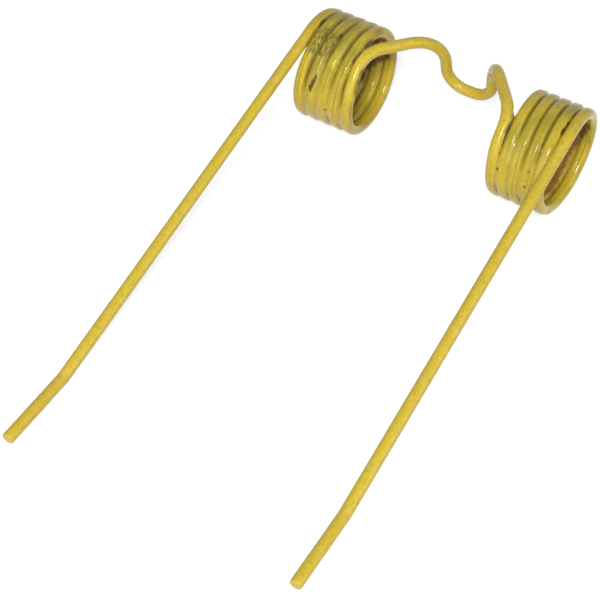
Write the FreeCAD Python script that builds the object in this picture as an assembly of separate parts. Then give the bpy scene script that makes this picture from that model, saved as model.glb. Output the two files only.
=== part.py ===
# Pick-up tine of a hay baler: one length of round spring wire.
# Two coils lie on one axis. A middle bridge with a dip for a bolt joins their inner ends.
# A straight tooth with a slightly raised tip leaves the outer end of each coil.
import FreeCAD, Part
import math
import os
from FreeCAD import Vector

# wire
wireDia = 5.0          # painted wire
endRound = 0.4         # worn edge of each cut end

# coils, wound about the X axis
coilRadius = 20.95     # axis to middle of wire
fullTurns = 4          # whole turns before the last part turn
turnStart = -13.3      # degrees past the front where a coil begins
turnEnd = 284.0        # degrees in the last turn where the tooth leaves
rightPitch = 5.15      # advance along X in one turn
leftPitch = 5.75       # the left coil is wound a little more open
rightInner = 34.12     # X where the right coil would pass the front first
leftInner = 33.0
rightEase = 6.0        # degrees over which the advance eases to the lean of the tooth, few where the coil is tight
leftEase = 92.0

# teeth
toothLean = 0.56       # degrees outward
rightTooth = 177.0     # straight run
leftTooth = 179.5
tipBendRadius = 11.8
tipBend = 13.4         # degrees, raises the tip
tipLength = 32.0

# middle bridge, to the middle of the wire; each half is the other's mirror image
loopHalfWidth = 10.55  # bolt loop
loopBack = 25.4        # behind the coils' axis
loopBottom = -8.8
loopRadius = 9.4
humpSide = 11.4        # top corner beside the bolt loop
humpBack = 21.3
humpTop = 19.3
humpRadius = 20.0
shoulderSide = 33.3    # corner where the bridge turns down beside the coil
shoulderBack = -7.5
shoulderTop = 22.1
shoulderRadius = 14.0
entryRadius = 16.0     # bend into the coil
entryRun = 7.4

restTilt = -0.78       # turn about X that brings both coils and the longer tooth to one level floor
bendStep = 26.0        # degrees between sections in a bend or a coil


def coilPlace(turn, pitch, inner, ease, last):
    """Middle of the wire in a coil; turn, ease and last are in radians, the turn from the front."""
    rise = pitch / (2.0 * math.pi)
    lean = coilRadius * math.tan(math.radians(toothLean))
    late = max(0.0, turn - (last - ease)) / ease
    x = inner + rise * turn + (lean - rise) * late * late * ease / 2.0
    return Vector(x, -coilRadius * math.cos(turn), -coilRadius * math.sin(turn))


def coilWay(turn, pitch, ease, last):
    """Direction of the wire in a coil, at the same turn."""
    rise = pitch / (2.0 * math.pi)
    lean = coilRadius * math.tan(math.radians(toothLean))
    late = max(0.0, turn - (last - ease)) / ease
    pace = Vector(rise + (lean - rise) * late, coilRadius * math.sin(turn), -coilRadius * math.cos(turn))
    return pace.normalize()


def bendSections(corner, before, after, radius):
    """Places and directions round a bend that takes the wire from one straight run to the next."""
    wayIn = (corner - before).normalize()
    wayOut = (after - corner).normalize()
    angle = wayIn.getAngle(wayOut)
    first = corner - wayIn * (radius * math.tan(angle / 2.0))
    inward = (wayOut - wayIn * wayOut.dot(wayIn)).normalize()
    steps = max(1, math.ceil(math.degrees(angle) / bendStep))
    sections = []
    for i in range(steps + 1):
        a = angle * i / steps
        place = first + wayIn * (radius * math.sin(a)) + inward * (radius * (1.0 - math.cos(a)))
        sections.append((place, wayIn * math.cos(a) + inward * math.sin(a)))
    return sections


def halfWire(pitch, inner, easeTurn, tooth):
    """Sections of the right half, from the bolt loop's lowest place out to the tip."""
    first = math.radians(turnStart)
    last = math.radians(turnEnd + 360.0 * fullTurns)
    ease = math.radians(easeTurn)
    start = coilPlace(first, pitch, inner, ease, last)
    entry = start - coilWay(first, pitch, ease, last) * entryRun
    bottom = Vector(0, loopBack, loopBottom)
    loopSide = Vector(loopHalfWidth, loopBack, loopBottom)
    hump = Vector(humpSide, humpBack, humpTop)
    shoulder = Vector(shoulderSide, shoulderBack, shoulderTop)
    sections = [(bottom, Vector(1, 0, 0))]
    sections += bendSections(loopSide, bottom, hump, loopRadius)
    sections += bendSections(hump, loopSide, shoulder, humpRadius)
    sections += bendSections(shoulder, hump, entry, shoulderRadius)
    sections += bendSections(entry, shoulder, start, entryRadius)

    steps = math.ceil(math.degrees(last - first) / bendStep)
    for i in range(steps + 1):
        turn = first + (last - first) * i / steps
        sections.append((coilPlace(turn, pitch, inner, ease, last), coilWay(turn, pitch, ease, last)))

    # tooth, then the tip raised in the plane that holds the tooth and leans as it does
    place, way = sections[-1]
    up = Vector(1, 0, 0).cross(way).normalize() * -1.0
    bend = math.radians(tipBend)
    corner = place + way * (tooth + tipBendRadius * math.tan(bend / 2.0))
    tipWay = way * math.cos(bend) + up * math.sin(bend)
    sections += bendSections(corner, place, corner + tipWay, tipBendRadius)
    sections.append((sections[-1][0] + tipWay * tipLength, tipWay))
    return sections


def mirrored(sections):
    """The same wire on the other side of X = 0, run the other way."""
    turned = [(Vector(-p.x, p.y, p.z), Vector(w.x, -w.y, -w.z)) for p, w in sections]
    return turned[::-1]


def sectionRings(sections):
    """A round section at each place, the last one at each end smaller by the worn edge."""
    radius = wireDia / 2.0
    startPlace, startWay = sections[0]
    endPlace, endWay = sections[-1]
    rounds = [(startPlace, startWay, radius - endRound), (startPlace + startWay * endRound, startWay, radius)]
    rounds += [(place, way, radius) for place, way in sections[1:-1]]
    rounds += [(endPlace - endWay * endRound, endWay, radius), (endPlace, endWay, radius - endRound)]
    side = Vector(1, 0, 0)
    rings = []
    for place, way, size in rounds:
        side = (side - way * side.dot(way)).normalize()
        ring = Part.Circle(Vector(0, 0, 0), Vector(0, 0, 1), size).toShape()
        ring.Placement = FreeCAD.Placement(place, FreeCAD.Rotation(side, way.cross(side), way, "ZXY"))
        rings.append(ring)
    return rings


def roundWire(sections):
    """Closed solid: a straight skin from each round section to the next, and the two cut ends."""
    rings = sectionRings(sections)
    skin = [Part.makeRuledSurface(ring, after) for ring, after in zip(rings[:-1], rings[1:])]
    cutEnds = [Part.Face(Part.Wire([ring])) for ring in (rings[0], rings[-1])]
    return Part.Solid(Part.Shell(skin + cutEnds))


rightSections = halfWire(rightPitch, rightInner, rightEase, rightTooth)
leftSections = halfWire(leftPitch, leftInner, leftEase, leftTooth)
tine = roundWire(mirrored(leftSections) + rightSections[1:])
tine.rotate(Vector(0, 0, 0), Vector(1, 0, 0), restTilt)

os.makedirs("parts", exist_ok=True)
tine.exportStep("parts/spring_tine.step")
box = tine.BoundBox
print("spring_tine", tine.ShapeType, tine.isValid(), "solids", len(tine.Solids), "faces", len(tine.Faces))
print("size", round(box.XLength, 2), round(box.YLength, 2), round(box.ZLength, 2))
print("low", round(box.XMin, 2), round(box.YMin, 2), round(box.ZMin, 2))
print("high", round(box.XMax, 2), round(box.YMax, 2), round(box.ZMax, 2))
print("volume", round(tine.Volume, 1))
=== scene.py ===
import bpy
import math
import numpy as np
from mathutils import Matrix, Vector


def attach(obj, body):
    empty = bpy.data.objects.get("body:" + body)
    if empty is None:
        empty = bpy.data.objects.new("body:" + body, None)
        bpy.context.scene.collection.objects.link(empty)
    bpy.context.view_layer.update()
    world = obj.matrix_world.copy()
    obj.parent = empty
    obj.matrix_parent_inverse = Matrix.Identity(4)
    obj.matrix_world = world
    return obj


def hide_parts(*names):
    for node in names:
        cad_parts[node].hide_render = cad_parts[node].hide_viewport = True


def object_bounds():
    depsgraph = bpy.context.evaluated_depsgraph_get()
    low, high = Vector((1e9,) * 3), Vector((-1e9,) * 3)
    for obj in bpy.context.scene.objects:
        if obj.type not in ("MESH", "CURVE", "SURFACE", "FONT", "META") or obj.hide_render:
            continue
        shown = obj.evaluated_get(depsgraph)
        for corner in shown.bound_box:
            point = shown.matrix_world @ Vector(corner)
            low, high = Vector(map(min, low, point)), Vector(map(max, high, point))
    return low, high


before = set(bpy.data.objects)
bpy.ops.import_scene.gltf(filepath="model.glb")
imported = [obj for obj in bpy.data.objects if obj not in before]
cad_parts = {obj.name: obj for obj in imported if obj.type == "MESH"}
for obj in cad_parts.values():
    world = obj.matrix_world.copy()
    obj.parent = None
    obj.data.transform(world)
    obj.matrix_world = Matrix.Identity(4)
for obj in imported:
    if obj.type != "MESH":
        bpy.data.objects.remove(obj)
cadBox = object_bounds()
print("frame loaded")

# sizes of the bent wire, in millimetres and degrees
wire = {
    "diameter": 5.0,
    "endRound": 0.4,
    "endStretch": 2.0,    # plain wire before a rounded end
    "coilRadius": 20.95,
    "fullTurns": 4,
    "turnStart": -13.3,
    "turnEnd": 284.0,
    "rightPitch": 5.15,
    "leftPitch": 5.75,
    "rightInner": 34.12,
    "leftInner": 33.0,
    "rightEase": 6.0,     # last part of the coil, which eases into the tooth
    "leftEase": 92.0,
    "toothLean": 0.56,
    "rightTooth": 177.0,
    "leftTooth": 179.5,
    "tipBendRadius": 11.8,
    "tipBend": 13.4,
    "tipLength": 32.0,
    "restTilt": -0.78,
}
bridge = {
    "loop": {"corner": (10.55, 25.4, -8.8), "radius": 9.4},
    "hump": {"corner": (11.4, 21.3, 19.3), "radius": 20.0},
    "shoulder": {"corner": (33.3, -7.5, 22.1), "radius": 14.0},
    "entry": {"run": 7.4, "radius": 16.0},
}
skin = {
    "sides": 36,
    "ringStep": 0.8,      # between rings in coils and bends
    "straightStep": 2.5,  # between rings on straight runs
    "endAngles": (0, 30, 60, 90),
    "lumpHeight": 0.09,
    "lumpSize": 7.0,
    "lumpLevel": 0.7,     # noise above this swells the wire, noise below it thins it
    "lumpDetail": 2.0,
    "seed": 4.0,
}
# paint between the turns, in millimetres and degrees
webs = {
    "start": 25.0,        # turn over which the paint between two turns begins and ends
    "from": -52.0,        # turn past the front where the paint starts to thicken
    "full": -8.0,
    "until": 4.0,
    "gone": 34.0,
    "waves": ((15.0, 0.041, 1.0), (11.0, 0.0171, 2.0)),  # how the edges wander: size, rate, shift
    "lateWander": 0.25,   # share of the wander where the paint thins again
    "deep": 1.6,          # depth of an open groove
    "shallow": 0.40,      # depth of a groove where the paint is thickest
    "inside": 1.3,        # depth of the grooves inside a coil
    "overlap": 0.04,      # how far each side of a closed groove passes its middle
    "crown": 0.15,        # how far the paint levels the top of a turn
    "crownWidth": 1.0,
    "gap": 1.4,           # widest gap beside the entering wire that paint still closes
    "entering": 60.0,     # turn before the coil in which the entering wire lies beside a turn
}
mm = 0.001


def eased(values, low, high):
    t = np.clip((values - low) / (high - low), 0.0, 1.0)
    return t * t * (3.0 - 2.0 * t)


def coilPace(turn, side, last):
    # sideways travel per radian in the coil and in the tooth, the ease and how far it has come
    rise = wire[side + "Pitch"] / (2.0 * math.pi)
    lean = wire["coilRadius"] * math.tan(math.radians(wire["toothLean"]))
    ease = math.radians(wire[side + "Ease"])
    late = max(0.0, turn - (last - ease)) / ease
    return rise, lean, ease, late


def coilPoint(turn, side, last):
    rise, lean, ease, late = coilPace(turn, side, last)
    radius = wire["coilRadius"]
    x = wire[side + "Inner"] + rise * turn + (lean - rise) * late * late * ease / 2.0
    return Vector((x, -radius * math.cos(turn), -radius * math.sin(turn)))


def coilWay(turn, side, last):
    rise, lean, ease, late = coilPace(turn, side, last)
    radius = wire["coilRadius"]
    pace = Vector((rise + (lean - rise) * late, radius * math.sin(turn), -radius * math.cos(turn)))
    return pace.normalized()


def bendPoints(corner, before, after, radius):
    wayIn = (corner - before).normalized()
    wayOut = (after - corner).normalized()
    angle = wayIn.angle(wayOut)
    first = corner - wayIn * (radius * math.tan(angle / 2.0))
    inward = (wayOut - wayIn * wayOut.dot(wayIn)).normalized()
    steps = max(2, math.ceil(radius * angle / skin["ringStep"]))
    points = []
    for i in range(steps + 1):
        a = angle * i / steps
        forward, aside = radius * math.sin(a), radius * (1.0 - math.cos(a))
        points.append(first + wayIn * forward + inward * aside)
    return points


def straightPoints(start, end):
    steps = max(1, round((end - start).length / skin["straightStep"]))
    return [start.lerp(end, i / steps) for i in range(1, steps)]


def endPoints(start, end):
    way = (end - start).normalized()
    back = [wire["endRound"] * (1.0 - math.sin(math.radians(a))) for a in skin["endAngles"]]
    return [end - way * gap for gap in back]


def halfLine(side):
    # each entry is a place and its turn in the coil, or None
    first = math.radians(wire["turnStart"])
    last = math.radians(wire["turnEnd"] + 360.0 * wire["fullTurns"])
    start = coilPoint(first, side, last)
    entry = start - coilWay(first, side, last) * bridge["entry"]["run"]
    bottom = Vector((0.0,) + bridge["loop"]["corner"][1:])
    middle = [Vector(bridge[name]["corner"]) for name in ("loop", "hump", "shoulder")]
    corners = [bottom] + middle + [entry, start]
    radii = [bridge[name]["radius"] for name in ("loop", "hump", "shoulder", "entry")]
    points = [bottom]
    for before, corner, after, radius in zip(corners, corners[1:], corners[2:], radii):
        bend = bendPoints(corner, before, after, radius)
        points += straightPoints(points[-1], bend[0]) + bend
    entries = [(p, None) for p in points]

    steps = math.ceil((last - first) * wire["coilRadius"] / skin["ringStep"])
    for i in range(steps + 1):
        turn = first + (last - first) * i / steps
        entries.append((coilPoint(turn, side, last), turn))

    end = entries[-1][0]
    way = coilWay(last, side, last)
    up = -Vector((1, 0, 0)).cross(way).normalized()
    raised = math.radians(wire["tipBend"])
    toothLength = wire[side + "Tooth"] + wire["tipBendRadius"] * math.tan(raised / 2.0)
    corner = end + way * toothLength
    tipWay = way * math.cos(raised) + up * math.sin(raised)
    bend = bendPoints(corner, end, corner + tipWay, wire["tipBendRadius"])
    tip = bend[-1] + tipWay * wire["tipLength"]
    points = straightPoints(end, bend[0]) + bend
    points += straightPoints(bend[-1], tip - tipWay * wire["endStretch"])
    points += endPoints(bend[-1], tip)
    entries += [(p, None) for p in points]
    return entries, first, last


def squared(outward, way):
    # outward without its part along the wire
    return (outward - way * outward.dot(way)).normalized()


def outwardWays(points, inCoil):
    # outward is radial in a coil and carried along without twist elsewhere
    count = len(points)
    ways = [(points[min(i + 1, count - 1)] - points[max(i - 1, 0)]).normalized()
            for i in range(count)]
    outward = [None] * count
    for i in inCoil:
        outward[i] = squared(Vector((0.0, points[i].y, points[i].z)), ways[i])
    for i in range(inCoil[0] - 1, -1, -1):
        outward[i] = squared(outward[i + 1], ways[i])
    for i in range(inCoil[-1] + 1, count):
        outward[i] = squared(outward[i - 1], ways[i])
    return outward


def enteringTurns(points, inCoil, first):
    # the wire that enters the coil lies beside the second turn, so it has a turn of its own too
    entering = {}
    for i in range(inCoil[0] - 1, -1, -1):
        angle = math.atan2(-points[i].z, -points[i].y)
        if not first - math.radians(webs["entering"]) < angle < first:
            break
        entering[i] = angle
    return entering


def lineRows(entries, side, first, last):
    # a row for each place: its turn, the room to the turns beside it, and how far paint joins them
    points = [p for p, turn in entries]
    inCoil = [i for i, (p, turn) in enumerate(entries) if turn is not None]
    outward = outwardWays(points, inCoil)
    entering = enteringTurns(points, inCoil, first)
    known = sorted((angle, points[i].x) for i, angle in entering.items())
    known.append((first, points[inCoil[0]].x))
    full = 2.0 * math.pi
    start = math.radians(webs["start"])

    def roomAbove(lower):
        if lower < first:
            ownX = np.interp(lower, *zip(*known))
        else:
            ownX = coilPoint(lower, side, last).x
        return coilPoint(lower + full, side, last).x - ownX

    rows = []
    for i, (p, turn) in enumerate(entries):
        at = entering.get(i, turn)
        row = {"place": p, "outward": outward[i], "turn": at or 0.0, "coil": 0.0, "settled": 0.0,
               "roomOut": 0.0, "roomIn": 0.0, "webOut": 0.0, "webIn": 0.0}
        if turn is not None:
            row["coil"] = 1.0
            row["settled"] = eased(turn - first, 0.0, start) * eased(last - turn, 0.0, start)
        for name, lower in (("Out", at), ("In", None if turn is None else turn - full)):
            if lower is not None and known[0][0] <= lower <= last - full:
                room = roomAbove(lower)
                closed = 1.0 - eased(room - wire["diameter"], 0.5 * webs["gap"], webs["gap"])
                row["room" + name] = room
                row["web" + name] = closed * eased(last - full - lower, 0.0, start)
        rows.append(row)
    return rows


def wholeLine():
    halves = []
    for side, sign in (("left", -1.0), ("right", 1.0)):
        entries, first, last = halfLine(side)
        rows = lineRows(entries, side, first, last)
        for row in rows:
            row["side"] = sign
            for name in ("place", "outward"):
                row[name] = Vector((row[name].x * sign, row[name].y, row[name].z))
        halves.append(rows)
    rows = halves[0][::-1] + halves[1][1:]
    tilt = Matrix.Rotation(math.radians(wire["restTilt"]), 3, "X")
    for row in rows:
        row["place"] = tilt @ row["place"] * mm
        row["outward"] = tilt @ row["outward"]
    return rows


def addNode(tree, kind, inputs=None, **settings):
    node = tree.nodes.new(kind)
    for name, value in settings.items():
        setattr(node, name, value)
    for name, value in (inputs or {}).items():
        socket = node.inputs[name]
        if isinstance(value, bpy.types.NodeSocket):
            tree.links.new(value, socket)
        else:
            socket.default_value = value
    return node


def writeAttribute(mesh, name, values):
    values = np.array(values, np.float32)
    kind, field = ("FLOAT_VECTOR", "vector") if values.ndim == 2 else ("FLOAT", "value")
    mesh.attributes.new(name, kind, "POINT").data.foreach_set(field, values.ravel())


def readAttribute(mesh, name, parts=1):
    values = np.zeros(len(mesh.vertices) * parts, np.float32)
    mesh.attributes[name].data.foreach_get("vector" if parts == 3 else "value", values)
    return values.reshape(-1, 3).astype(float) if parts == 3 else values.astype(float)


def lineObject(rows):
    mesh = bpy.data.meshes.new("middleLine")
    edges = [(i, i + 1) for i in range(len(rows) - 1)]
    mesh.from_pydata([row["place"] for row in rows], edges, [])
    thick = [1.0] * len(rows)
    inset = wire["endRound"] / (wire["diameter"] / 2.0)
    for i, a in enumerate(reversed(skin["endAngles"])):
        thick[i] = thick[-1 - i] = 1.0 - inset * (1.0 - math.cos(math.radians(a)))
    writeAttribute(mesh, "thick", thick)
    steps = [(b["place"] - a["place"]).length for a, b in zip(rows, rows[1:])]
    writeAttribute(mesh, "reach", np.cumsum([0.0] + steps))
    for name in ("turn", "coil", "settled", "side", "roomOut", "roomIn", "webOut", "webIn"):
        writeAttribute(mesh, name, [row[name] for row in rows])
    for name in ("place", "outward"):
        writeAttribute(mesh, name + "Kept", [row[name] for row in rows])
    line = bpy.data.objects.new("springTine", mesh)
    bpy.context.scene.collection.objects.link(line)
    return line


def windTree():
    # sweeps a ring along the middle line and pushes the lumps of thick paint out of it
    tree = bpy.data.node_groups.new("windWire", "GeometryNodeTree")
    face = tree.interface
    face.new_socket("Geometry", in_out="INPUT", socket_type="NodeSocketGeometry")
    for name, kind, value in (("Wire Diameter", "NodeSocketFloat", wire["diameter"] * mm),
                              ("Sides", "NodeSocketInt", skin["sides"]),
                              ("Lump Height", "NodeSocketFloat", skin["lumpHeight"] * mm),
                              ("Lump Size", "NodeSocketFloat", skin["lumpSize"] * mm),
                              ("Seed", "NodeSocketFloat", skin["seed"])):
        face.new_socket(name, in_out="INPUT", socket_type=kind).default_value = value
    face.new_socket("Paint", in_out="INPUT", socket_type="NodeSocketMaterial")
    face.new_socket("Geometry", in_out="OUTPUT", socket_type="NodeSocketGeometry")
    given = tree.nodes.new("NodeGroupInput").outputs
    curve = addNode(tree, "GeometryNodeMeshToCurve", {"Mesh": given["Geometry"]})
    outward = addNode(tree, "GeometryNodeInputNamedAttribute", {"Name": "outwardKept"},
                      data_type="FLOAT_VECTOR")
    turned = addNode(tree, "GeometryNodeSetCurveNormal",
                     {"Curve": curve.outputs[0], "Normal": outward.outputs["Attribute"]},
                     mode="FREE")
    radius = addNode(tree, "ShaderNodeMath", {0: given["Wire Diameter"], 1: 0.5},
                     operation="MULTIPLY")
    ring = addNode(tree, "GeometryNodeCurvePrimitiveCircle",
                   {"Resolution": given["Sides"], "Radius": radius.outputs[0]})
    thick = addNode(tree, "GeometryNodeInputNamedAttribute", {"Name": "thick"}, data_type="FLOAT")
    swept = addNode(tree, "GeometryNodeCurveToMesh",
                    {"Curve": turned.outputs[0], "Profile Curve": ring.outputs[0],
                     "Scale": thick.outputs["Attribute"], "Fill Caps": True})
    fine = addNode(tree, "ShaderNodeMath", {0: 1.0, 1: given["Lump Size"]}, operation="DIVIDE")
    lumps = addNode(tree, "ShaderNodeTexNoise",
                    {"W": given["Seed"], "Scale": fine.outputs[0], "Detail": skin["lumpDetail"]},
                    noise_dimensions="4D")
    level = addNode(tree, "ShaderNodeMath", {0: lumps.outputs["Fac"], 1: skin["lumpLevel"]},
                    operation="SUBTRACT")
    height = addNode(tree, "ShaderNodeMath", {0: level.outputs[0], 1: given["Lump Height"]},
                     operation="MULTIPLY")
    normal = addNode(tree, "GeometryNodeInputNormal")
    push = addNode(tree, "ShaderNodeVectorMath",
                   {0: normal.outputs[0], "Scale": height.outputs[0]}, operation="SCALE")
    lumpy = addNode(tree, "GeometryNodeSetPosition",
                    {"Geometry": swept.outputs[0], "Offset": push.outputs[0]})
    real = addNode(tree, "GeometryNodeRealizeInstances", {"Geometry": lumpy.outputs[0]})
    painted = addNode(tree, "GeometryNodeSetMaterial",
                      {"Geometry": real.outputs[0], "Material": given["Paint"]})
    result = tree.nodes.new("NodeGroupOutput")
    tree.links.new(painted.outputs[0], result.inputs[0])
    return tree


# angles round the wire, from 0 at the outside of a coil to 180 at its inside
roundWire = {
    "outerSlope": (18.0, 78.0),
    "outerEnd": 84.0,
    "innerEnd": 96.0,
    "innerSlope": (102.0, 160.0),
    "besideFrom": (50.0, 77.0),
    "besideUntil": (103.0, 130.0),
    "grooveFrom": (30.0, 82.0),
    "grooveUntil": (98.0, 128.0),
    "outsideUntil": (85.0, 115.0),
}
boxMargin = 0.00001   # kept between the paint and the solid's box
halfShift = 0.5       # sets the strokes of the two halves apart


def band(angle, rise, fall):
    return eased(angle, *rise) * (1.0 - eased(angle, *fall))


def fillGrooves(mesh):
    # paint closes the gap between turns: the skin beside the next turn moves over to meet it,
    # and up to the groove's floor
    places = np.zeros(len(mesh.vertices) * 3, np.float32)
    mesh.vertices.foreach_get("co", places)
    places = places.reshape(-1, 3).astype(float)
    outward = readAttribute(mesh, "outwardKept", 3)
    outward /= np.linalg.norm(outward, axis=1)[:, None]
    side = np.sign(readAttribute(mesh, "side"))
    across = np.tile([1.0, 0.0, 0.0], (len(places), 1)) * side[:, None]
    offset = places - readAttribute(mesh, "placeKept", 3)
    out = (offset * outward).sum(1) / mm
    over = (offset * across).sum(1) / mm
    webOut, webIn = readAttribute(mesh, "webOut"), readAttribute(mesh, "webIn")
    room = np.where(over > 0, readAttribute(mesh, "roomOut"), readAttribute(mesh, "roomIn"))
    web = np.where(over > 0, webOut, webIn)

    turn = np.degrees(readAttribute(mesh, "turn"))
    front = (turn + 180.0) % 360.0 - 180.0
    lower = np.where(over > 0, turn, turn - 360.0)    # names a groove, the same from both sides
    wander = sum(size * np.sin(lower * rate + shift * side)
                 for size, rate, shift in webs["waves"])
    thickness = eased(front + wander, webs["from"], webs["full"])
    thickness *= 1.0 - eased(front + webs["lateWander"] * wander, webs["until"], webs["gone"])
    depth = webs["deep"] + (webs["shallow"] - webs["deep"]) * thickness

    radius = wire["diameter"] / 2.0
    angle = np.degrees(np.arctan2(np.abs(over), out))
    floorOut = radius - depth * eased(angle, *roundWire["outerSlope"])
    floorIn = -(radius - webs["inside"] * (1.0 - eased(angle, *roundWire["innerSlope"])))
    goalInside = np.where(angle > roundWire["innerEnd"], np.minimum(out, floorIn), out)
    goalOut = np.where(angle < roundWire["outerEnd"], np.maximum(out, floorOut), goalInside)
    goalOver = np.sign(over) * (room / 2.0 + webs["overlap"])
    beside = band(angle, roundWire["besideFrom"], roundWire["besideUntil"])
    crown = webs["crown"] * np.exp(-(over / webs["crownWidth"]) ** 2)
    crown *= readAttribute(mesh, "settled")
    places += outward * ((goalOut - out) * web * mm)[:, None]
    places -= outward * (np.sign(out) * crown * mm)[:, None]
    places += across * ((goalOver - over) * web * beside * mm)[:, None]
    low = np.array(cadBox[0]) + boxMargin
    high = np.array(cadBox[1]) - boxMargin
    mesh.vertices.foreach_set("co", np.clip(places, low, high).astype(np.float32).ravel())

    # what the paint's colours follow
    writeAttribute(mesh, "groove",
                   band(angle, roundWire["grooveFrom"], roundWire["grooveUntil"]) * web)
    writeAttribute(mesh, "thickPaint", thickness * web)
    writeAttribute(mesh, "betweenTurns",
                   np.minimum(webOut, webIn) * (1.0 - eased(angle, *roundWire["outsideUntil"])))
    aroundWire = np.arctan2(over, out) * radius * mm
    along = [readAttribute(mesh, "reach"), aroundWire, side * halfShift]
    writeAttribute(mesh, "alongWire", np.stack(along, 1))
    mesh.update()


# the paint: colours are linear, sizes in metres
paint = {
    "yellow": (0.490, 0.375, 0.020),
    "ochre": (0.475, 0.298, 0.023),
    "pale": (0.56, 0.40, 0.12),
    "olive": (0.266, 0.218, 0.013),
    "fineLine": (0.17, 0.135, 0.014),
    # painted shade for the grooves between turns
    "grooveOlive": (0.138, 0.108, 0.013),
    "grooveBrown": (0.190, 0.092, 0.016),
    "grooveDark": (0.060, 0.042, 0.008),
    "wrinkle": (0.095, 0.068, 0.010),
    # painted shadow in the stains
    "stainShadeBrown": (0.095, 0.042, 0.013),
    "rust": (0.215, 0.078, 0.017),
    "bare": (0.028, 0.024, 0.003),
    "roughness": 0.25,
    "coilRoughness": 0.15,
    "wornRoughness": 0.45,    # added where the paint is worn
    "specular": 0.31,
    "bumpStrength": 0.32,
    "bumpDistance": 0.0003,
    "raggedSize": 0.001,      # makes the edges of the marks ragged
    "raggedShift": 0.0007,
}
grains = {
    "patches": {"size": 0.016, "seed": 1.0},
    "mottle": {"size": 0.0016, "seed": 2.0},
    "specks": {"size": 0.0024, "seed": 15.0},
    "cloud": {"size": 0.009, "seed": 4.0},
    "gloss": {"size": 0.005, "seed": 3.0},
    "stainShade": {"size": 0.002, "seed": 7.0, "detail": 5.0},
    "rust": {"size": 0.002, "seed": 11.0, "detail": 5.0},
}
# noises drawn out along the wire
strokes = {
    "streaks": {"length": 0.009, "width": 0.0009, "seed": 1.0},
    "fineLines": {"length": 0.022, "width": 0.0006, "seed": 12.0},
    "wrinkles": {"length": 0.0013, "width": 0.00045, "seed": 6.0},
    "uneven": {"length": 0.006, "width": 0.002, "seed": 8.0},
    "brownish": {"length": 0.008, "width": 0.003, "seed": 17.0},
}
# from the first number to the second of its source, a mask goes from the third to the fourth
levels = {
    "patches": (0.40, 0.70, 0.0, 0.45),
    "mottleOchre": (0.49, 0.64, 0.0, 0.75),
    "mottleOlive": (0.50, 0.36, 0.0, 0.40),
    "specks": (0.50, 0.74, 0.0, 1.0),
    "specksByCoil": (0.0, 1.0, 0.5, 0.12),
    # painted shade on the coils: on top and between turns, in patches
    "shadeBetween": (0.0, 1.0, 0.4, 1.0),
    "shadeUpward": (0.0, 0.95, 0.04, 0.95),
    "shadeCloud": (0.30, 0.62, 0.25, 1.0),
    "streakOchre": (0.56, 0.72, 0.0, 0.55),
    "streakOlive": (0.44, 0.28, 0.0, 0.55),
    "fineLines": (0.57, 0.66, 0.0, 0.6),
    "uneven": (0.34, 0.60, 0.35, 1.0),
    "valley": (0.15, 0.75, 0.0, 1.0),
    "valleyByOpen": (0.0, 1.0, 0.22, 0.95),
    "brownish": (0.50, 0.60, 0.0, 1.0),
    "filled": (0.55, 1.0, 0.0, 1.0),
    "deep": (0.70, 1.0, 0.0, 1.0),
    "deepByOpen": (0.35, 0.95, 0.0, 0.9),
    "wrinkles": (0.46, 0.55, 0.0, 1.0),
    "stainShade": (0.22, 0.38, 0.0, 1.0),
    "rust": (0.32, 0.55, 0.55, 1.0),
    "gloss": (0.3, 0.7, -0.05, 0.04),
    "roughByCoil": (0.0, 1.0, paint["roughness"], paint["coilRoughness"]),
}
# how strongly a mark covers, wears off the gloss or shows in the relief
amounts = {
    "filled": 0.6,
    "wrinkledArea": 0.45,
    "wrinkles": 0.85,
    "stainShade": 0.9,
    "rust": 0.85,
    "chips": 0.92,
    "pinholes": 0.8,
    "wornWrinkles": 0.8,
    "wornGrooves": 0.7,
    "holeHeight": -0.7,
    "streakHeight": 0.45,
    "mottleHeight": 0.30,
}
# marks on the paint, in millimetres: place, half sizes, and how soft the edge is
chips = [
    {"place": (-48.4, -20.4, 11.0), "size": (0.5, 3.0, 2.1), "soft": 0.4},
    {"place": (-49.2, -21.5, 8.8), "size": (0.85, 3.0, 2.0), "soft": 0.4},
    {"place": (-49.7, -22.4, 6.9), "size": (0.75, 3.0, 1.8), "soft": 0.4},
    {"place": (-42.1, -21.4, -1.1), "size": (0.8, 2.2, 0.8), "soft": 0.5},
    {"place": (-57.4, 0.2, 21.8), "size": (0.55, 2.6, 1.5), "soft": 0.5},
    {"place": (-46.6, -3.2, 21.4), "size": (0.5, 2.2, 1.5), "soft": 0.5},
    {"place": (37.3, -22.3, 5.3), "size": (0.6, 1.6, 0.7), "soft": 0.5, "amount": 0.8},
    {"place": (49.8, -23.3, 2.3), "size": (0.5, 1.5, 0.5), "soft": 0.5},
    {"place": (56.1, -1.6, 21.3), "size": (0.45, 1.8, 1.8), "soft": 0.5},
    {"place": (55.9, -5.6, 21.2), "size": (0.45, 2.2, 1.6), "soft": 0.5},
]
pinholes = [
    {"place": (36.4, -19.0, 11.2), "size": (0.4, 1.5, 0.9), "soft": 0.5},
    {"place": (50.0, -21.4, 9.3), "size": (0.4, 1.5, 0.45), "soft": 0.5},
    {"place": (52.1, -20.8, 3.6), "size": (0.4, 1.5, 0.4), "soft": 0.5},
    {"place": (35.7, -12.9, 18.7), "size": (0.6, 2.4, 2.0), "soft": 0.7},
]
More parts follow.
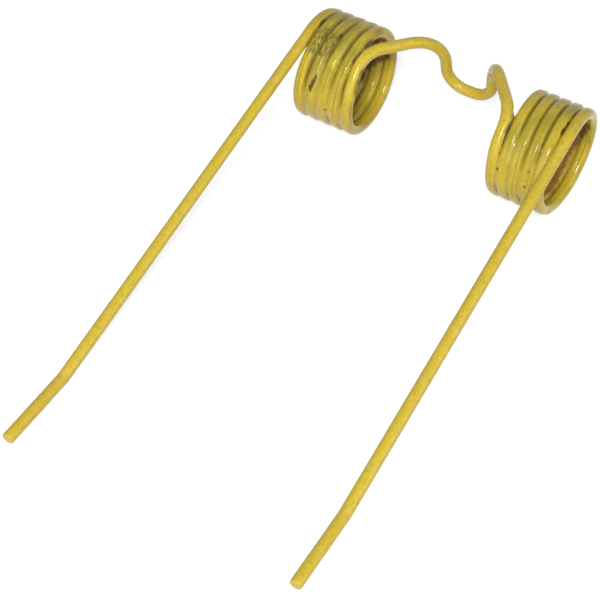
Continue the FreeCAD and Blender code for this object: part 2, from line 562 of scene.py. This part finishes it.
# stains in dark brown, most of them painted shadow inside the coils and where the bridge meets the
# left coil
stainsAndShadows = [
    {"place": (-45.0, 17.2, -9.0), "size": (1.8, 2.2, 2.6), "soft": 0.4},
    {"place": (-42.8, 17.9, -6.2), "size": (2.0, 2.0, 2.4), "soft": 0.4},
    {"place": (-40.2, 18.4, -3.6), "size": (2.1, 2.0, 2.2), "soft": 0.4},
    {"place": (-37.2, 18.8, -1.0), "size": (2.2, 2.0, 1.9), "soft": 0.4},
    {"place": (-45.6, 13.6, -12.8), "size": (1.2, 2.4, 2.8), "soft": 0.5},
    {"place": (-35.0, -0.6, 20.3), "size": (1.2, 3.4, 1.8), "soft": 0.4},
    {"place": (-35.2, -11.2, 20.0), "size": (0.8, 2.2, 1.8), "soft": 0.4},
    {"place": (-34.4, -8.8, 21.8), "size": (0.7, 2.0, 1.4), "soft": 0.4},
    {"place": (-30.5, -13.4, 16.6), "size": (0.6, 2.2, 2.2), "soft": 0.5, "amount": 0.8},
    {"place": (-30.4, -16.5, 14.2), "size": (0.5, 2.2, 2.2), "soft": 0.5, "amount": 0.8},
    {"place": (-30.4, -18.4, 11.2), "size": (0.5, 1.6, 2.6), "soft": 0.5, "amount": 0.7},
    {"place": (-41.5, 17.5, 6.1), "size": (2.4, 2.0, 3.0), "soft": 0.5},
    {"place": (-37.8, 15.5, 9.6), "size": (2.2, 2.4, 2.6), "soft": 0.5},
    {"place": (53.0, 17.8, -5.2), "size": (1.7, 2.6, 2.8), "soft": 0.5},
    {"place": (54.4, 19.0, -1.7), "size": (1.5, 2.2, 3.0), "soft": 0.5},
    {"place": (55.6, 19.0, 1.6), "size": (1.6, 2.2, 2.8), "soft": 0.5},
    {"place": (57.2, 17.6, 5.0), "size": (1.3, 2.4, 2.8), "soft": 0.5},
    {"place": (57.8, -14.2, -16.4), "size": (1.0, 1.6, 1.2), "soft": 0.6, "amount": 0.6},
]
rusts = [
    {"place": (-35.2, 8.8, 21.0), "size": (0.9, 4.0, 2.2), "soft": 0.7, "amount": 0.75},
    {"place": (-56.6, 1.0, 22.2), "size": (1.2, 5.0, 2.5), "soft": 0.8, "amount": 0.3},
    {"place": (59.9, 9.8, 20.6), "size": (1.6, 4.0, 2.4), "soft": 0.8, "amount": 0.25},
    {"place": (51.9, 0.3, -18.7), "size": (1.6, 3.2, 1.8), "soft": 0.5},
    {"place": (51.4, 4.8, -17.9), "size": (1.9, 3.4, 2.2), "soft": 0.5},
    {"place": (51.2, 8.5, -16.4), "size": (2.1, 3.2, 2.8), "soft": 0.5},
    {"place": (51.2, 12.0, -14.0), "size": (2.2, 3.2, 3.0), "soft": 0.5},
    {"place": (51.5, 14.8, -11.0), "size": (2.1, 3.0, 3.2), "soft": 0.5},
    {"place": (52.4, 16.9, -7.4), "size": (1.9, 3.0, 3.4), "soft": 0.5},
]
wrinkled = [
    {"place": (-51.3, -9.0, 20.6), "size": (6.4, 8.2, 6.6), "soft": 0.35},
    {"place": (58.4, 18.8, -0.5), "size": (2.2, 2.6, 6.0), "soft": 0.5, "amount": 0.5},
]
# part of the bridge on the left a little darker, in olive
darkerBridge = [
    {"place": (-20.0, 8.0, 21.0), "size": (14.0, 17.0, 7.0), "soft": 0.5, "amount": 0.12},
]


def mathNode(tree, operation, first, second):
    return addNode(tree, "ShaderNodeMath", {0: first, 1: second}, operation=operation).outputs[0]


def vectorNode(tree, operation, first, second):
    return addNode(tree, "ShaderNodeVectorMath", {0: first, 1: second},
                   operation=operation).outputs[0]


def times(tree, first, second):
    return mathNode(tree, "MULTIPLY", first, second)


def ranged(tree, value, low, high, least, most):
    return addNode(tree, "ShaderNodeMapRange",
                   {"Value": value, "From Min": low, "From Max": high,
                    "To Min": least, "To Max": most},
                   interpolation_type="SMOOTHSTEP").outputs["Result"]


def levelled(tree, value, name):
    return ranged(tree, value, *levels[name])


def joinMasks(tree, masks):
    joined = masks[0]
    for mask in masks[1:]:
        joined = mathNode(tree, "MAXIMUM", joined, mask)
    return joined


def spotMask(tree, coords, spot):
    # 1 inside an ellipsoid, 0 outside, with an edge as soft as the spot says
    apart = vectorNode(tree, "SUBTRACT", coords, Vector(spot["place"]) * mm)
    scaled = vectorNode(tree, "MULTIPLY", apart, [1.0 / (s * mm) for s in spot["size"]])
    length = addNode(tree, "ShaderNodeVectorMath", {0: scaled}, operation="LENGTH")
    return ranged(tree, length.outputs["Value"], 1.0 + spot["soft"], 1.0 - spot["soft"],
                  0.0, spot.get("amount", 1.0))


def spotsMask(tree, coords, spots):
    return joinMasks(tree, [spotMask(tree, coords, spot) for spot in spots])


def mixColour(tree, amount, first, second):
    # inputs 0, 6 and 7 are the amount and the two colours, output 2 is the mixed colour
    node = addNode(tree, "ShaderNodeMix", data_type="RGBA")
    for number, value in ((0, amount), (6, first), (7, second)):
        if isinstance(value, bpy.types.NodeSocket):
            tree.links.new(value, node.inputs[number])
        else:
            node.inputs[number].default_value = tuple(value) + (1.0,)
    return node.outputs[2]


def grainMask(tree, coords, name):
    grain = grains[name]
    return addNode(tree, "ShaderNodeTexNoise",
                   {"Vector": coords, "W": grain["seed"], "Scale": 1.0 / grain["size"],
                    "Detail": grain.get("detail", 3.0)},
                   noise_dimensions="4D").outputs["Fac"]


def strokeMask(tree, coords, name):
    stroke = strokes[name]
    drawn = vectorNode(tree, "MULTIPLY", coords,
                       (1.0 / stroke["length"], 1.0 / stroke["width"], 1.0))
    return addNode(tree, "ShaderNodeTexNoise",
                   {"Vector": drawn, "W": stroke["seed"], "Scale": 1.0, "Detail": 2.0},
                   noise_dimensions="4D").outputs["Fac"]


def yellowPaint():
    material = bpy.data.materials.new("yellowPaint")
    material.use_nodes = True
    tree = material.node_tree
    tree.nodes.clear()
    coords = addNode(tree, "ShaderNodeTexCoord").outputs["Object"]
    groove, thickPaint, coil, between = [
        addNode(tree, "ShaderNodeAttribute", attribute_name=name).outputs["Fac"]
        for name in ("groove", "thickPaint", "coil", "betweenTurns")]
    along = addNode(tree, "ShaderNodeAttribute", attribute_name="alongWire").outputs["Vector"]
    shift = addNode(tree, "ShaderNodeTexNoise",
                    {"Vector": coords, "Scale": 1.0 / paint["raggedSize"], "Detail": 2.0})
    shift = vectorNode(tree, "SUBTRACT", shift.outputs["Color"], (0.5, 0.5, 0.5))
    shift = vectorNode(tree, "MULTIPLY", shift, (paint["raggedShift"],) * 3)
    ragged = vectorNode(tree, "ADD", coords, shift)

    def covered(colour, amount, name):
        return mixColour(tree, amount, colour, paint[name])

    # yellow with ochre, olive and pale specks in it
    mottle = grainMask(tree, coords, "mottle")
    patches = levelled(tree, grainMask(tree, coords, "patches"), "patches")
    colour = mixColour(tree, patches, paint["yellow"], paint["ochre"])
    colour = covered(colour, levelled(tree, mottle, "mottleOchre"), "ochre")
    colour = covered(colour, levelled(tree, mottle, "mottleOlive"), "olive")
    specks = levelled(tree, grainMask(tree, coords, "specks"), "specks")
    specks = times(tree, specks, levelled(tree, coil, "specksByCoil"))
    colour = covered(colour, specks, "pale")

    # painted shade in olive on the coils, in cloudy patches, most of it on top and between turns,
    # and streaks along the wire
    normal = addNode(tree, "ShaderNodeNewGeometry").outputs["Normal"]
    upward = addNode(tree, "ShaderNodeSeparateXYZ", {0: normal}).outputs["Z"]
    paintedShade = times(tree, coil, levelled(tree, between, "shadeBetween"))
    paintedShade = times(tree, paintedShade, levelled(tree, upward, "shadeUpward"))
    cloud = levelled(tree, grainMask(tree, coords, "cloud"), "shadeCloud")
    colour = covered(colour, times(tree, paintedShade, cloud), "olive")
    streaks = strokeMask(tree, along, "streaks")
    for name, shade in (("streakOchre", "ochre"), ("streakOlive", "olive")):
        colour = covered(colour, times(tree, coil, levelled(tree, streaks, name)), shade)
    lines = levelled(tree, strokeMask(tree, along, "fineLines"), "fineLines")
    colour = covered(colour, times(tree, coil, lines), "fineLine")

    # grooves between turns: painted shade in olive and brown where they are open above, filled
    # with ochre paint at the front
    uneven = levelled(tree, strokeMask(tree, along, "uneven"), "uneven")
    openness = mathNode(tree, "SUBTRACT", 1.0, thickPaint)
    valley = times(tree, uneven, levelled(tree, openness, "valleyByOpen"))
    valley = times(tree, levelled(tree, groove, "valley"), valley)
    brownish = levelled(tree, strokeMask(tree, along, "brownish"), "brownish")
    grooveShade = mixColour(tree, brownish, paint["grooveOlive"], paint["grooveBrown"])
    colour = mixColour(tree, valley, colour, grooveShade)
    filled = times(tree, levelled(tree, groove, "filled"),
                   times(tree, thickPaint, amounts["filled"]))
    colour = covered(colour, filled, "ochre")
    # the darkest painted shade, in the open grooves
    deep = times(tree, uneven, levelled(tree, openness, "deepByOpen"))
    deep = times(tree, levelled(tree, groove, "deep"), deep)
    colour = covered(colour, deep, "grooveDark")

    # the bridge a little darker, wrinkled patches, stains that are mostly painted shadow, rust,
    # chips
    colour = covered(colour, spotsMask(tree, coords, darkerBridge), "olive")
    wrinkledArea = spotsMask(tree, ragged, wrinkled)
    colour = covered(colour, times(tree, wrinkledArea, amounts["wrinkledArea"]), "olive")
    wrinkles = levelled(tree, strokeMask(tree, along, "wrinkles"), "wrinkles")
    wrinkles = times(tree, wrinkledArea, wrinkles)
    colour = covered(colour, times(tree, wrinkles, amounts["wrinkles"]), "wrinkle")
    # painted shadow in dark brown, in ragged stains
    stainShade = times(tree, spotsMask(tree, ragged, stainsAndShadows),
                  levelled(tree, grainMask(tree, coords, "stainShade"), "stainShade"))
    colour = covered(colour, times(tree, stainShade, amounts["stainShade"]), "stainShadeBrown")
    rust = times(tree, spotsMask(tree, ragged, rusts),
                 levelled(tree, grainMask(tree, coords, "rust"), "rust"))
    colour = covered(colour, times(tree, rust, amounts["rust"]), "rust")
    chipped = spotsMask(tree, ragged, chips)
    colour = covered(colour, times(tree, chipped, amounts["chips"]), "bare")
    pierced = spotsMask(tree, ragged, pinholes)
    colour = covered(colour, times(tree, pierced, amounts["pinholes"]), "wrinkle")

    # gloss, duller where the paint is worn, in the painted shadow of the stains and in the deep
    # grooves, and relief
    worn = joinMasks(tree, [chipped, stainShade, rust,
                            times(tree, wrinkles, amounts["wornWrinkles"]),
                            times(tree, deep, amounts["wornGrooves"])])
    gloss = levelled(tree, grainMask(tree, coords, "gloss"), "gloss")
    rough = mathNode(tree, "ADD", gloss, levelled(tree, coil, "roughByCoil"))
    rough = mathNode(tree, "ADD", rough, times(tree, worn, paint["wornRoughness"]))
    holes = times(tree, joinMasks(tree, [chipped, pierced, wrinkles]), amounts["holeHeight"])
    relief = mathNode(tree, "ADD", times(tree, streaks, amounts["streakHeight"]), holes)
    relief = mathNode(tree, "ADD", times(tree, mottle, amounts["mottleHeight"]), relief)
    bump = addNode(tree, "ShaderNodeBump",
                   {"Height": relief, "Strength": paint["bumpStrength"],
                    "Distance": paint["bumpDistance"]})
    shader = addNode(tree, "ShaderNodeBsdfPrincipled",
                     {"Base Color": colour, "Roughness": rough, "Normal": bump.outputs[0],
                      "Specular IOR Level": paint["specular"]})
    addNode(tree, "ShaderNodeOutputMaterial", {"Surface": shader.outputs[0]})
    return material


def paintedTine():
    line = lineObject(wholeLine())
    modifier = line.modifiers.new("windWire", "NODES")
    modifier.node_group = windTree()
    for item in modifier.node_group.interface.items_tree:
        if item.name == "Paint":
            modifier[item.identifier] = yellowPaint()
    wound = line.evaluated_get(bpy.context.evaluated_depsgraph_get())
    plain = bpy.data.meshes.new_from_object(wound)
    line.modifiers.clear()
    line.data = plain
    plain.shade_smooth()
    for polygon in plain.polygons:    # the cut ends stay flat
        polygon.use_smooth = len(polygon.vertices) == 4
    fillGrooves(plain)
    return line


tine = paintedTine()
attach(tine, "root")
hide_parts("spring_tine")
print("tine wound and painted", len(tine.data.polygons), "faces")


# floor, lamps and camera, in metres, watts and degrees
studio = {
    "floorSize": 6.0,
    "floorColour": 0.50,
    "floorGlow": 0.66,
    "skyLight": 0.22,
}
lamps = {
    "keyLamp": {"way": (0.25, -0.58, 0.72), "distance": 1.6, "size": 0.38, "power": 22.0},
    "fillLamp": {"way": (0.10, -0.85, 0.35), "distance": 1.6, "size": 1.4, "power": 10.5},
    "sideLamp": {"way": (1.0, 0.05, 0.42), "distance": 1.6, "size": 1.0, "power": 7.0},
}
photoView = {
    "place": (0.230675, -0.468731, 0.494676),
    "turn": (40.233, 0.777, 31.867),
    "lens": 103.832,
    "nearest": 0.01,
}


def seenDirectly(tree):
    # 1 for the camera and for what shows in gloss or through glass
    path = addNode(tree, "ShaderNodeLightPath").outputs
    return joinMasks(tree, [path["Is Camera Ray"], path["Is Glossy Ray"],
                            path["Is Transmission Ray"]])


def paleFloor():
    half = studio["floorSize"] / 2.0
    low = cadBox[0].z
    mesh = bpy.data.meshes.new("floor")
    corners = [(-half, -half, low), (half, -half, low), (half, half, low), (-half, half, low)]
    mesh.from_pydata(corners, [], [(0, 1, 2, 3)])
    material = bpy.data.materials.new("paleFloor")
    material.use_nodes = True
    tree = material.node_tree
    tree.nodes.clear()
    matt = addNode(tree, "ShaderNodeBsdfDiffuse", {"Color": (studio["floorColour"],) * 3 + (1.0,)})
    strength = times(tree, seenDirectly(tree), studio["floorGlow"])
    glow = addNode(tree, "ShaderNodeEmission", {"Strength": strength})
    both = addNode(tree, "ShaderNodeAddShader", {0: matt.outputs[0], 1: glow.outputs[0]})
    addNode(tree, "ShaderNodeOutputMaterial", {"Surface": both.outputs[0]})
    mesh.materials.append(material)
    floor = bpy.data.objects.new("floor", mesh)
    bpy.context.scene.collection.objects.link(floor)


def paleSky():
    world = bpy.data.worlds.new("paleSky")
    bpy.context.scene.world = world
    world.use_nodes = True
    tree = world.node_tree
    tree.nodes.clear()
    strength = ranged(tree, seenDirectly(tree), 0.0, 1.0, studio["skyLight"], 1.0)
    sky = addNode(tree, "ShaderNodeBackground",
                  {"Color": (1.0, 1.0, 1.0, 1.0), "Strength": strength})
    addNode(tree, "ShaderNodeOutputWorld", {"Surface": sky.outputs[0]})


def softLamp(name, way, distance, size, power):
    data = bpy.data.lights.new(name, "AREA")
    data.shape = "DISK"
    data.size = size
    data.energy = power
    lamp = bpy.data.objects.new(name, data)
    lamp.location = Vector(way).normalized() * distance
    lamp.rotation_euler = (-lamp.location).to_track_quat("-Z", "Y").to_euler()
    bpy.context.scene.collection.objects.link(lamp)


def photoCamera():
    data = bpy.data.cameras.new("photoCamera")
    data.lens = photoView["lens"]
    data.clip_start = photoView["nearest"]
    camera = bpy.data.objects.new("photoCamera", data)
    camera.location = photoView["place"]
    camera.rotation_euler = [math.radians(angle) for angle in photoView["turn"]]
    bpy.context.scene.collection.objects.link(camera)
    bpy.context.scene.camera = camera


paleFloor()
paleSky()
for name, lamp in lamps.items():
    softLamp(name, **lamp)
photoCamera()
bpy.context.scene.view_settings.view_transform = "Standard"
print("stage, lamps and camera ready")
